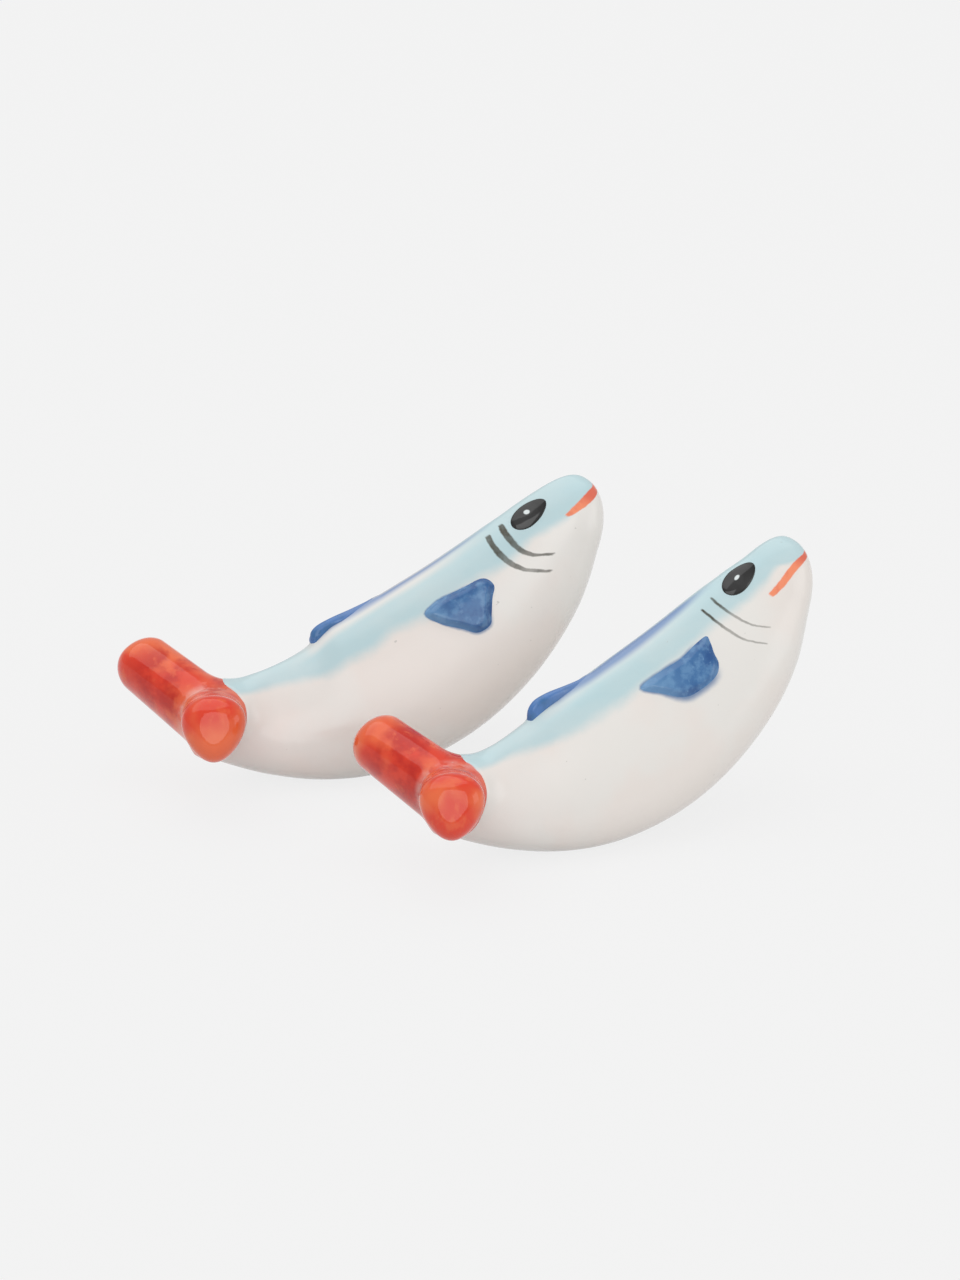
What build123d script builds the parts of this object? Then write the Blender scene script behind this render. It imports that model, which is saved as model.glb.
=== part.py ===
from build123d import *
import math
import os

# A pair of glazed fish-shaped chopstick rests, in millimetres and degrees.
# Each fish stands on a flat foot cut across its belly. Its spine is one arc, so head and tail both rise, and the
# chopsticks lie across the low back between the tail and the dorsal fin.
# Fish axes: +X from tail to head, +Y to the fish's left, +Z up, with the origin on the foot, on the table.

# Spine arc, from the tail root to the snout
spine_length = 65.0
tail_slope = -11.0
head_slope = 62.7

# Heights of the body, square to the spine
tail_root_height = 10.0
saddle_height = 14.0
rear_belly_height = 20.3
belly_height = 22.9
shoulder_height = 21.6
gill_height = 17.5
cheek_height = 12.2
snout_height = 8.8

# Where those heights are measured along the spine, forwards from the tail root or back from the snout
saddle_forward = 7.8
rear_belly_forward = 18.2
belly_forward = 29.25
shoulder_back = 24.7
gill_back = 14.3

# Section form: width at the belly, and how much the back narrows to a ridge while the belly swells
belly_width = 19.1
ridge_narrowing = 0.5

# Rounded ends of the body
snout_rounding = 6.5
tail_end_rounding = 2.0

# Foot, casting wall and vent
foot_depth = 1.1
cast_wall = 2.6
vent_diameter = 3.2
vent_forward = 4.5

# Dorsal fin, a long low fin on the ridge
dorsal_forward = 15.8
dorsal_length = 12.2
dorsal_height = 1.75
dorsal_middle_height = 0.75
dorsal_thickness = 1.8
dorsal_corner_radius = 1.3
dorsal_root_depth = 2.0

# Tail, two blunt lobes spread to the sides and raised, narrower below
tail_rise = 42.0
tail_half_spread = 55.5
tail_root_forward = 1.1
lobe_length = 15.8
lobe_root_height = 9.8
lobe_root_width = 8.2
lobe_tip_height = 7.8
lobe_tip_width = 7.8
lobe_narrowing = 0.25
lobe_tip_rounding = 2.8

# Pectoral fins, thin rounded triangles on the flanks: corners back from the snout and below the ridge
pectoral_front_back = 18.85
pectoral_low_back = 26.3
pectoral_length = 14.3
pectoral_top_drop = 3.1
pectoral_low_drop = 8.8
pectoral_corner_radius = 1.2
pectoral_relief = 0.8

# Eyes, raised ovals
eye_back = 8.6
eye_drop = 1.5
eye_length = 5.3
eye_width = 2.6
eye_tilt = 31.0
eye_relief = 0.35

# Second rest of the pair, beside the first and turned a little outwards
rear_rest_back = 12.6
rear_rest_left = 36.9
rear_rest_turn = -8.5

SECTION_POINTS = 16
ROUND_END_ANGLES = (25, 45, 62, 76, 86)
STRAIGHT_STEPS = 9

stations = (
    (0.0, tail_root_height),
    (saddle_forward, saddle_height),
    (rear_belly_forward, rear_belly_height),
    (belly_forward, belly_height),
    (spine_length - shoulder_back, shoulder_height),
    (spine_length - gill_back, gill_height),
    (spine_length - snout_rounding, cheek_height),
    (spine_length, snout_height),
)

spine_radius = spine_length / math.radians(head_slope - tail_slope)


def slope_at(along):
    return tail_slope + (head_slope - tail_slope) * along / spine_length


def half_height_at(along):
    """Half height of the body between its stations."""
    for (start, low), (end, high) in zip(stations, stations[1:]):
        if along <= end:
            return (low + (high - low) * (along - start) / (end - start)) / 2
    return snout_height / 2


def on_arc(along, rise=0.0):
    """Point of the median plane at a distance along the spine and a rise above it, measured from the tail root."""
    slope = math.radians(slope_at(along))
    start = math.radians(tail_slope)
    x = spine_radius * (math.sin(slope) - math.sin(start)) - rise * math.sin(slope)
    z = spine_radius * (math.cos(start) - math.cos(slope)) + rise * math.cos(slope)
    return Vector(x, 0, z)


foot_point = on_arc(rear_belly_forward, foot_depth - rear_belly_height / 2)


def in_fish(along, rise=0.0):
    """The same point with the origin on the foot."""
    return on_arc(along, rise) - foot_point


def egg(plane, half_height, half_width, narrowing):
    """Egg-shaped face on a plane, narrower above where the narrowing is positive and below where it is negative."""
    points = []
    for step in range(SECTION_POINTS):
        turn = 2 * math.pi * step / SECTION_POINTS
        across = half_width * math.sin(turn) * (1 - narrowing * math.cos(turn))
        points.append((across, half_height * math.cos(turn)))
    return plane * make_face(Spline(points, periodic=True))


def section(along, half_height, growth=0.0):
    """Section of the body square to the spine, grown or shrunk all round."""
    half_width = half_height * belly_width / belly_height
    slope = math.radians(slope_at(along))
    plane = Plane(in_fish(along), x_dir=(0, 1, 0), z_dir=(math.cos(slope), 0, math.sin(slope)))
    return egg(plane, half_height + growth, half_width + growth, ridge_narrowing)


def fish_form(growth=0.0):
    """Closed fish body without its foot, grown all round."""
    sections = []
    for angle in reversed(ROUND_END_ANGLES):
        along = -tail_end_rounding * math.sin(math.radians(angle))
        sections.append(section(along, tail_root_height / 2 * math.cos(math.radians(angle)), growth))
    for along, height in stations[:-1]:
        sections.append(section(along, height / 2, growth))
    for angle in ROUND_END_ANGLES:
        along = spine_length - snout_rounding * (1 - math.sin(math.radians(angle)))
        sections.append(section(along, half_height_at(along) * math.cos(math.radians(angle)), growth))
    return loft(sections)


def above_table(solid, level=0.0):
    return split(solid, Plane.XY.offset(level), keep=Keep.TOP)


def cavity():
    """Hollow left by the casting slip, a wall inside the body and above the foot."""
    sections = [section(along, height / 2, -cast_wall) for along, height in stations[1:-2]]
    return above_table(loft(sections), cast_wall)


def vent():
    return Pos(vent_forward, 0, cast_wall / 2) * Cylinder(vent_diameter / 2, 3 * cast_wall)


def below_ridge(along, drop):
    """Point of the median plane below the ridge of the back, or above it for a negative drop."""
    return in_fish(along, half_height_at(along) - drop)


def dorsal_fin(solid_body):
    """Plate on the ridge, highest near its rounded rear corner, seated on the back."""
    dorsal_end = dorsal_forward + dorsal_length
    rear_foot = below_ridge(dorsal_forward, dorsal_root_depth)
    rear_top = below_ridge(dorsal_forward, -dorsal_height)
    front_top = below_ridge(dorsal_end, 0)
    front_foot = below_ridge(dorsal_end, dorsal_root_depth)
    middle_top = below_ridge(dorsal_forward + dorsal_length / 2, -dorsal_middle_height)
    top_edge = ThreePointArc(rear_top, middle_top, front_top)
    outline = [Line(front_foot, rear_foot), Line(rear_foot, rear_top), top_edge, Line(front_top, front_foot)]
    face = make_face(outline)
    corner = face.vertices().sort_by_distance(rear_top)[0]
    face = fillet(corner, dorsal_corner_radius)
    return extrude(face, dorsal_thickness / 2, dir=(0, 1, 0), both=True) - solid_body


def tail_lobe(side, solid_body):
    """Tapered egg-shaped bar with a blunt tip, cut on the median plane and seated on the tail root."""
    rise = math.radians(tail_rise)
    spread = math.radians(tail_half_spread)
    back_way = Vector(-math.cos(rise), 0, math.sin(rise))
    way = back_way * math.cos(spread) + Vector(0, side, 0) * math.sin(spread)
    root_point = in_fish(0) + Vector(tail_root_forward, 0, 0)

    def lobe_section(reach, scale=1.0, inset=0.0):
        share = max(reach, 0) / lobe_length
        height = lobe_root_height + (lobe_tip_height - lobe_root_height) * share
        width = lobe_root_width + (lobe_tip_width - lobe_root_width) * share
        plane = Plane(root_point + way * reach, x_dir=Vector(0, 0, 1).cross(way), z_dir=way)
        return egg(plane, height / 2 * scale - inset, width / 2 * scale - inset, -lobe_narrowing)

    sections = []
    for angle in reversed(ROUND_END_ANGLES):
        turn = math.radians(angle)
        sections.append(lobe_section(-lobe_root_width / 2 * math.sin(turn), scale=math.cos(turn)))
    straight = lobe_length - lobe_tip_rounding
    for step in range(STRAIGHT_STEPS + 1):
        sections.append(lobe_section(straight * step / STRAIGHT_STEPS))
    for angle in ROUND_END_ANGLES:
        turn = math.radians(angle)
        reach = straight + lobe_tip_rounding * math.sin(turn)
        sections.append(lobe_section(reach, inset=lobe_tip_rounding * (1 - math.cos(turn))))
    return split(loft(sections), Plane((0, 0, 0), z_dir=(0, side, 0)), keep=Keep.TOP) - solid_body


def flank_plate(outline, side, relief, solid_body):
    """Plate of even thickness that follows the flank inside an outline drawn in the side view."""
    reach = belly_height
    prism = extrude(outline, reach, dir=(0, side, 0))
    return (fish_form(relief) & prism) - solid_body


def pectoral_fin(side, solid_body):
    front = spine_length - pectoral_front_back
    corners = (
        below_ridge(front - pectoral_length, pectoral_top_drop),
        below_ridge(front, pectoral_top_drop),
        below_ridge(spine_length - pectoral_low_back, pectoral_low_drop),
    )
    face = make_face(Polyline(*corners, close=True))
    face = fillet(face.vertices(), pectoral_corner_radius)
    return flank_plate(face, side, pectoral_relief, solid_body)


def eye(side, solid_body):
    tilt = math.radians(eye_tilt)
    middle = below_ridge(spine_length - eye_back, eye_drop)
    plane = Plane(middle, x_dir=(math.cos(tilt), 0, math.sin(tilt)), z_dir=(0, -1, 0))
    return flank_plate(plane * Ellipse(eye_length / 2, eye_width / 2), side, eye_relief, solid_body)


def rest_pieces():
    """Every piece of one rest by name, in the fish axes."""
    solid_body = above_table(fish_form())
    pieces = {"body": solid_body - cavity() - vent(), "dorsal_fin": dorsal_fin(solid_body)}
    for name, side in (("left", 1), ("right", -1)):
        pieces["tail_lobe_" + name] = tail_lobe(side, solid_body)
        pieces["pectoral_fin_" + name] = pectoral_fin(side, solid_body)
        pieces["eye_" + name] = eye(side, solid_body)
    return pieces


rests = {
    "front": Location((0, 0, 0)),
    "rear": Location((-rear_rest_back, rear_rest_left, 0), (0, 0, rear_rest_turn)),
}

os.makedirs("parts", exist_ok=True)
one_rest = rest_pieces()
for rest, place in rests.items():
    for name, piece in one_rest.items():
        export_step(place * piece, f"parts/{rest}_{name}.step")
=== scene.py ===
import math

import bpy
import numpy as np
from mathutils import Matrix, Vector


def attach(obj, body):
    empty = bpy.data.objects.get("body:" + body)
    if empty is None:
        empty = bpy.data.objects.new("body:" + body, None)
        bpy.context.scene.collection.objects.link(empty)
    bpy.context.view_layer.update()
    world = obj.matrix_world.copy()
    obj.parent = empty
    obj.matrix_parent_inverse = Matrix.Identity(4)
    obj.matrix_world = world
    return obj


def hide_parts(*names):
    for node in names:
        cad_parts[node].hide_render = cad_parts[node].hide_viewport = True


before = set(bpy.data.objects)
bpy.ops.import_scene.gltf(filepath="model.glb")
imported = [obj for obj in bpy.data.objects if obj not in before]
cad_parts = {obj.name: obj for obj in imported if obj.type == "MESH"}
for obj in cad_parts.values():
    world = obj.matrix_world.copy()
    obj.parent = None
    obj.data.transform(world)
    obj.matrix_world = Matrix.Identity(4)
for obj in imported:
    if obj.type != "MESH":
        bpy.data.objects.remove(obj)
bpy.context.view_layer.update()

# Sizes are in millimetres, in the fish's own axes: +X from tail to head, +Y to its left, +Z up, with the
# origin on the table below the rear of the belly. Meshes are made in metres.
MM = 0.001
NEAR_ZERO = 1e-9

# Spine arc from the tail root to the snout, and body heights at distances along it
SPINE_LENGTH = 65.0
TAIL_SLOPE = math.radians(-11.0)
HEAD_SLOPE = math.radians(62.7)
STATIONS = (0.0, 7.8, 18.2, 29.25, 40.3, 50.7, 58.5, 65.0)
HEIGHTS = (8.8, 14.0, 20.3, 22.9, 21.6, 17.5, 12.2, 8.8)
WIDTH_RATIO = 0.834
RIDGE_NARROWING = 0.5
TAIL_NARROWING = -0.2
NARROWING_REACH = 9.0
SNOUT_ROUNDING = 6.5
SNOUT_BLUNTNESS = 2.3
TAIL_END_ROUNDING = 1.2
FOOT_STATION = 18.2
FOOT_DEPTH = 1.1
FOOT_EDGE = 0.5
VENT_FORWARD = 4.5
VENT_RADIUS = 1.6
VENT_DEPTH = 3.0
VENT_RIM = 0.25

# Tail lobes, egg-shaped bars that are wider above: half sizes at the root and the tip. Those of the left
# (1) and the right (-1) differ a little, as hand-finished pieces do.
TAIL_ROOT_FORWARD = 1.1
LOBE_ROOT_TALL = {1: 4.85, -1: 4.2}
LOBE_ROOT_WIDE = {1: 4.1, -1: 3.7}
LOBE_ROOT_ROUNDING = {1: 4.2, -1: 3.7}
LOBE_TIP_TALL = {1: 3.9, -1: 4.5}
LOBE_TIP_WIDE = {1: 3.9, -1: 4.25}
LOBE_NARROWING = {1: 0.25, -1: 0.24}
LOBE_TIP_ROUNDING = 2.8

# Dorsal fin: outline as (distance from its rear end, share of its height above the ridge), its
# thickness, and how much it thins between two distances from its rear end
DORSAL_OUTLINE = ((-0.1, -1.1), (-0.6, 0.2), (-0.3, 0.75), (1.0, 1.05), (3.6, 0.9), (7.0, 0.5),
                  (10.0, 0.15), (12.4, -0.2), (12.4, -0.8), (6.0, -1.0))
DORSAL_HALF_THICKNESS = 0.65
DORSAL_ROUNDING = 0.6
DORSAL_FRONT_THINNING = 0.6
DORSAL_THIN_START = 3.0
DORSAL_THIN_END = 10.0

# Widths of the soft joins between the clay pieces, closed by the glaze, and the turns from the ridge
# between which the tail's join to the body fades out
TAIL_JOIN = 1.6
ROOT_JOIN = 2.6
DORSAL_JOIN = 0.7
JOIN_START = math.radians(70.0)
JOIN_END = math.radians(115.0)

# Relief of the fins and eyes on the flanks. Their edges are sunk a little in the body, and their
# undersides, whose rings are shares of the outline, more. The far eye sits lower than the one that the
# photograph shows.
PECTORAL_BEVEL = 1.1
PECTORAL_EDGE_SINK = 0.03
EYE_RELIEF = 0.33
EYE_EDGE_SINK = 0.02
EYE_POINT = 0.12
FAR_EYE_LOWER = 2.8
PLATE_UNDERSIDE = (0.97, 0.6, 0.25)
PLATE_SINK = 0.3

# Hand finish along the spine: where a low saddle begins, is lowest and ends, where a low crown and a
# changed muzzle begin and are full, where a full throat begins, and where the snout begins to lean and
# leans in full
SADDLE_START = 4.5
SADDLE_LOW = 15.5
SADDLE_END = 21.0
CROWN_START = 56.0
MUZZLE_START = 46.0
HEAD_END = 61.0
THROAT_START = 46.0
NOD_START = 57.0
NOD_END = 64.0

# Fineness: counts of rings, of points round a ring and of steps. The body's rings crowd at its ends and
# stop just short of its poles.
BODY_RINGS = 240
BODY_AROUND = 144
END_CROWDING = 2.2
POLE_GAP = 0.002
LOBE_STRAIGHT_RINGS = 24
LOBE_BEND_RINGS = 19
LOBE_CAP_RINGS = 9
LOBE_AROUND = 96
DORSAL_RINGS = 24
DORSAL_AROUND = 90
PLATE_RINGS = 22
PECTORAL_AROUND = 120
EYE_AROUND = 72
SECTION_STEPS = 721
CURVE_STEPS = 24
JOIN_ROUNDS = 14

# Where each rest stands, how its hand-finished form differs, and what is painted where, for both flanks.
# The saddle and crown say how much lower the back and the head are, the throat how much fuller the head
# is below, the muzzle how much shorter it is, and the nod how far the snout leans forward. Lobe tips are
# measured from the lobes' root. The dorsal fin has the place of its rear end, its height and its shift
# to the left. Eye and pectoral fin are placed by (distance along the spine, girth from the ridge), and
# the catchlight by its middle and half sizes on the eye. The band's edge is (along, turn from the ridge
# in degrees), the stripe (along, half width), a gill (girth, along) with ink for its start and its end,
# and the mouth (along, rise above the spine) with half widths at its corner, beyond it and at the snout.
RESTS = {
    "front": {
        "place": (0.0, 0.0),
        "turn": 0.0,
        "saddle": 0.0,
        "crown": 0.75,
        "muzzle": 1.0,
        "nod": 0.0,
        "throat": 0.0,
        "lobe_tips": {1: (-5.98, 12.59, 6.44), -1: (-8.1, -12.55, 4.95)},
        "dorsal": (14.7, 1.85, 0.4),
        "eye": (56.47, 1.94),
        "eye_halves": (3.36, 1.58),
        "eye_tilt": math.radians(-14.4),
        "catchlight": (-0.1, -0.2, 0.5, 0.22),
        "pectoral": ((31.8, 5.6), (35.4, 5.2), (40.1, 5.5), (43.2, 5.2), (45.7, 5.3), (45.3, 6.6),
                     (44.5, 7.9), (43.8, 9.4), (42.2, 10.5), (39.4, 10.7), (36.5, 10.2), (34.1, 8.0)),
        "pectoral_relief": 0.5,
        "pectoral_bleed": 0.9,
        "band": ((0, 30), (9.3, 36), (14.7, 43), (24.7, 45), (29.6, 44), (47, 47), (52, 51.7), (57.3, 59),
                 (60.5, 61), (61.7, 74), (62.8, 95), (63.6, 200)),
        "bare_ridge": 0.4,
        "stripe": ((16, 0.2), (22, 0.4), (27, 0.75), (30, 0.8), (34, 0.9), (39, 0.8), (44, 0.6), (50, 0.3),
                   (56, 0.0)),
        "gills": (((1.9, 51.15), (3.8, 50.85), (6.0, 50.95), (7.9, 51.3), (9.1, 51.95), (10.0, 52.7)),
                  ((2.4, 48.5), (4.1, 48.4), (6.3, 48.45), (8.7, 48.75), (10.1, 49.45), (11.5, 50.4))),
        "gill_half_width": 0.22,
        "gill_ink": (0.95, 0.55),
        "mouth": ((56.8, 1.95), (58.9, 1.3), (61.0, 0.6), (62.9, -0.6), (64.0, -1.8), (65.0, -3.2)),
        "mouth_widths": (0.35, 0.47, 0.57),
    },
    "rear": {
        "place": (-12.6, 36.9),
        "turn": math.radians(-8.5),
        "saddle": 0.9,
        "crown": 0.36,
        "muzzle": -0.16,
        "nod": 0.5,
        "throat": 0.42,
        "lobe_tips": {1: (-6.65, 13.02, 5.99), -1: (-5.86, -14.15, 5.04)},
        "dorsal": (17.8, 1.0, 0.5),
        "eye": (57.28, 2.28),
        "eye_halves": (2.97, 1.55),
        "eye_tilt": math.radians(-11.1),
        "catchlight": (0.0, -0.3, 0.38, 0.33),
        "pectoral": ((34.8, 5.7), (37.6, 4.9), (42.3, 5.3), (45.6, 5.8), (46.1, 7.6), (44.5, 9.0),
                     (42.9, 10.6), (41.6, 11.8), (39.4, 11.7), (37.9, 10.0), (35.9, 8.0)),
        "pectoral_relief": 0.75,
        "pectoral_bleed": 0.35,
        "band": ((0, 34), (12.7, 41), (18, 48), (24.2, 47), (29.8, 44), (34.1, 48), (43.6, 47.3),
                 (48.7, 55), (54.3, 58), (56.8, 66), (59.6, 76), (62.6, 90), (63.4, 200)),
        "bare_ridge": 0.85,
        "stripe": ((16, 0.1), (22, 0.2), (28, 0.4), (36, 0.3), (42, 0.2), (48, 0.05), (56, 0.0)),
        "gills": (((1.3, 53.5), (3.8, 52.65), (5.7, 52.4), (7.2, 52.85), (8.3, 53.95), (8.9, 54.6)),
                  ((1.6, 50.95), (3.6, 50.2), (5.8, 49.95), (7.8, 50.35), (9.2, 51.3), (10.6, 52.55))),
        "gill_half_width": 0.46,
        "gill_ink": (1.0, 0.8),
        "mouth": ((59.8, 1.5), (61.2, 0.75), (62.6, -0.05), (63.5, -0.65), (64.2, -1.3), (65.0, -2.4)),
        "mouth_widths": (0.3, 0.6, 0.76),
    },
}

# Brush blotches: size, noise where they begin and where they are full, detail of the noise, and strength
IVORY_CLOUDS = (16.0, 0.42, 0.6, 3.0, 1.0)
MOUTH_POOLS = (1.2, 0.5, 0.66, 3.0, 0.35)
BODY_CREASES = (2.0, 0.4, 0.6, 3.0, 0.5)
BODY_SPECKS = (0.75, 0.78, 0.82, 1.0, 0.4)
TAIL_CLOUDS = (7.0, 0.42, 0.64, 2.0, 1.0)
TAIL_POOLS = (4.5, 0.44, 0.64, 3.0, 1.0)
TAIL_VEINS = (1.8, 0.54, 0.7, 4.0, 0.5)
TAIL_CREASES = (2.5, 0.36, 0.6, 3.0, 0.7)
FIN_CLOUDS = (3.5, 0.44, 0.66, 4.0, 1.0)
FIN_POOLS = (1.6, 0.46, 0.66, 4.0, 0.45)
FIN_SPECKS = (0.4, 0.73, 0.78, 1.0, 0.5)
DORSAL_CLOUDS = (2.5, 0.4, 0.62, 4.0, 1.0)
EYE_CLOUDS = (2.4, 0.4, 0.7, 1.0, 0.6)
NOISE_ROUGHNESS = 0.55
NOISE_MIDDLE = 0.5

# Sizes of the two noises that brush lines waver with. Where the limits of paint below are pairs, there is
# none at the first value and all of it at the second.
WOBBLE_SIZE = 3.0
SHIVER_SIZE = 0.8

# Blue band on the back, kept off the chin, with brush marks, and the bare ridge above it by place and
# girth
BAND_WOBBLE = 8.0
BAND_SOFTNESS = 7.0
CHIN_DROP = (0.1, -0.3)
CHIN_ALONG = (61.5, 62.5)
WASH_SIZE = 6.0
WASH_STRETCH = (0.4, 1.0, 1.0)
WASH_LEAST = 0.62
WASH_CHANGE = 0.6
BARE_RIDGE = ((10, 0.0), (15, 0.25), (19, 0.9), (36, 0.9), (46, 0.35), (52, 0.0))
BARE_RIDGE_GIRTH = (2.1, 0.9)

# Stripe on the ridge: softness outside and inside its edge, and where it begins and ends along the spine
STRIPE_OUTSIDE = 0.75
STRIPE_INSIDE = 0.5
STRIPE_START = (17.0, 20.0)
STRIPE_END = (55.0, 46.0)
STRIPE_STRENGTH = 0.85

# Gills: widths as (girth past the start or the end, share), softness, and where the ink runs dry past
# the start
GILL_LEAD = 0.35
GILL_START_WIDTHS = ((-GILL_LEAD, 0.3), (0.4, 1.0))
GILL_END_WIDTHS = ((-3.0, 0.85), (0.0, 0.6))
GILL_END = (0.25, -0.1)
GILL_SHIVER = 0.3
GILL_SOFTNESS = 0.12
GILL_WET_END = 1.5
GILL_DRY_START = 4.5
GILL_INK_SIZE = 1.5
GILL_INK_LEAST = 0.6
GILL_INK_CHANGE = 0.7

# Mouth: distances from its corner to its point, its full width and its middle, and where it turns red
MOUTH_POINT = (-0.2, 0.1)
MOUTH_CORNER = 0.4
MOUTH_MIDDLE = 2.5
MOUTH_START = (-0.15, 0.2)
MOUTH_SHIVER = 0.25
MOUTH_SOFTNESS = 0.1
MOUTH_REDDENS = (61.8, 63.6)

# Blue that has run out of the pectoral fins, wider below, and where it ends along the spine
BLEED_LEAST = 0.35
BLEED_GROWTH = 0.65
BLEED_GIRTH = (7.5, 10.5)
BLEED_WOBBLE = 0.6
BLEED_INSIDE = -0.2
BLEED_END = (44.0, 41.0)
BLEED_STRENGTH = 0.8

# Red of the tail: where it ends along the body at a turn from the ridge in degrees, how far it reaches
# from the lobes and down the flanks, its dark pools along a lobe, deepest in its middle, which are partly
# pooled red and partly a painted dark reflection, and its pale creases by the distance from a lobe
TAIL_EDGE = ((0, 1.6), (30, 2.6), (55, 2.8), (80, 1.6), (100, 0.5), (124, -0.4), (150, -1.0), (180, -1.4))
TAIL_WOBBLE = 0.8
TAIL_SOFTNESS = 0.2
TAIL_REACH = (0.5, 0.2)
TAIL_TURN = (75.0, 55.0)
TAIL_VEIN_STRETCH = (1.0, 1.0, 0.5)
TAIL_POOLS_AND_DARK_REFLECTION = ((0, 0.4), (0.3, 0.9), (0.6, 0.9), (0.8, 0.3), (1, 0.05))
BODY_CREASE_GAP = (0.0, 0.5)
LOBE_CREASE_GAP = (1.3, 0.1)

# Where the blue thins along the fins, the black deepens towards the eye's rim, and the catchlight, a
# painted highlight, has its edge
FIN_THINS = (0.5, -6.5)
FIN_THIN_STRENGTH = 0.6
DORSAL_THINS = (1.5, 7.5)
DORSAL_THIN_STRENGTH = 0.9
EYE_RIM = (0.78, 0.95)
EYE_RIM_STRENGTH = 0.8
CATCHLIGHT_EDGE = (1.5, 0.6)

# Glaze, with low waves and a fine grain, and the heights below which the foot is bare
GLAZE_IOR = 1.5
GLAZE_DETAIL = 2.0
GLAZE_WAVE_SIZE = 4.0
GLAZE_GRAIN_SIZE = 0.5
GLAZE_GRAIN_SHARE = 0.04
GLAZE_BUMP = 0.25
GLAZE_BUMP_HEIGHT = 0.2
BODY_ROUGHNESS = 0.2
FOOT_ROUGHNESS = 0.6
LOBE_ROUGHNESS = 0.07
FIN_ROUGHNESS = 0.1
DORSAL_ROUGHNESS = 0.08
EYE_ROUGHNESS = 0.06
FOOT_HEIGHT = (0.12, 0.05)

# Sockets that the mix node keeps for colours: share and two colours in, one colour out
MIX_INPUTS = (0, 6, 7)
MIX_OUTPUT = 2

# Camera, worked out from the photograph's outlines: its frame is 960 by 1280 pixels
CAMERA_TARGET = (26.9, 63.8, 0.0)
CAMERA_TURN = math.radians(32.77)
CAMERA_ELEVATION = math.radians(22.0)
CAMERA_DISTANCE = 1700.0
CAMERA_FOCAL_PIXELS = 12400.0
FRAME_HEIGHT_PIXELS = 1280.0
SENSOR_MM = 36.0
CAMERA_REACH = 20000.0

# Studio, in metres: lamps as (place, width, height, radiance), all turned to one point, above paper that
# glows where the camera or a reflection sees it
SOFTBOXES = {
    "top_softbox": ((-0.1, 0.25, 1.1), 1.5, 1.5, 0.95),
    "front_softbox": ((-0.84, -1.68, 0.95), 1.4, 1.4, 1.5),
    "fill_softbox": ((0.65, -0.75, 0.26), 0.6, 0.5, 1.1),
}
LAMP_TARGET = (0.0, 0.02, 0.015)
SKY_STRENGTH = 0.55
FLOOR_REACH = 3.0
FLOOR_LEVEL = -0.02 * MM
PAPER_ROUGHNESS = 0.9
PAPER_GLOW = 0.88


def srgb(red, green, blue):
    """Linear colour of a display colour given as 0 to 255."""
    parts = [value / 255 for value in (red, green, blue)]
    return tuple(v / 12.92 if v <= 0.04045 else ((v + 0.055) / 1.055) ** 2.4 for v in parts) + (1.0,)


IVORY = srgb(237, 234, 229)
IVORY_WARM = srgb(238, 231, 225)
PALE_BLUE = srgb(190, 217, 222)
STRIPE_BLUE = srgb(106, 138, 190)
FIN_BLUE = srgb(66, 114, 166)
FIN_DEEP = srgb(42, 86, 144)
DORSAL_BLUE = srgb(80, 126, 188)
FIN_PALE = srgb(120, 164, 204)
TAIL_RED = srgb(228, 64, 38)
TAIL_ORANGE = srgb(240, 110, 66)
TAIL_DARK = srgb(194, 32, 18)
TAIL_PALE = srgb(238, 190, 180)
GILL_GREY = srgb(74, 72, 60)
MOUTH_CORAL = srgb(250, 148, 110)
MOUTH_RED = srgb(228, 112, 88)
EYE_BLACK = srgb(54, 54, 54)
EYE_DEEP = srgb(26, 26, 26)
# Painted highlight: white of the catchlight, a lamp's reflection on the eye's dome
EYE_HIGHLIGHT_WHITE = srgb(226, 234, 234)
SPECK_GREY = srgb(160, 158, 152)
BISQUE = srgb(226, 218, 206)
BACKGROUND = srgb(218, 218, 218)
BACKGROUND_SEEN = srgb(246, 246, 246)


# Form of the fish, as sums on arrays

spine_radius = SPINE_LENGTH / (HEAD_SLOPE - TAIL_SLOPE)
half_heights = np.array(HEIGHTS) / 2
height_slopes = np.gradient(half_heights, np.array(STATIONS))


def through_stations(along):
    """Half height of the body, smooth through its stations."""
    knots = np.array(STATIONS)
    along = np.clip(along, knots[0], knots[-1])
    left = np.clip(np.searchsorted(knots, along, side="right") - 1, 0, len(knots) - 2)
    step = knots[left + 1] - knots[left]
    t = (along - knots[left]) / step
    rise = t * t * (3 - 2 * t)
    bend_in = t * (1 - t) ** 2 * step * height_slopes[left]
    bend_out = t * t * (t - 1) * step * height_slopes[left + 1]
    return half_heights[left] * (1 - rise) + half_heights[left + 1] * rise + bend_in + bend_out


def half_height(along):
    """Half height with the rounded tail end and snout."""
    into_tail = np.clip(-along, 0, TAIL_END_ROUNDING) / TAIL_END_ROUNDING
    into_snout = np.clip(along - SPINE_LENGTH + SNOUT_ROUNDING, 0, SNOUT_ROUNDING) / SNOUT_ROUNDING
    snout = (1 - into_snout ** SNOUT_BLUNTNESS) ** (1 / SNOUT_BLUNTNESS)
    return through_stations(along) * np.sqrt(1 - into_tail ** 2) * snout


def slope_at(along):
    """Slope of the spine, in radians."""
    return TAIL_SLOPE + (HEAD_SLOPE - TAIL_SLOPE) * along / SPINE_LENGTH


def from_tail_root(along, rise, across):
    """Point by its place on the spine, measured from the tail root."""
    slope = slope_at(along)
    x = spine_radius * (np.sin(slope) - math.sin(TAIL_SLOPE)) - rise * np.sin(slope)
    z = spine_radius * (math.cos(TAIL_SLOPE) - np.cos(slope)) + rise * np.cos(slope)
    return np.stack(np.broadcast_arrays(x, across, z), -1)


foot_point = from_tail_root(FOOT_STATION, FOOT_DEPTH - float(half_height(np.array(FOOT_STATION))), 0.0)


def in_fish(along, rise, across=0.0):
    """Point at a distance along the spine, a rise above it and a distance to the fish's left."""
    return from_tail_root(along, rise, across) - foot_point


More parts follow.
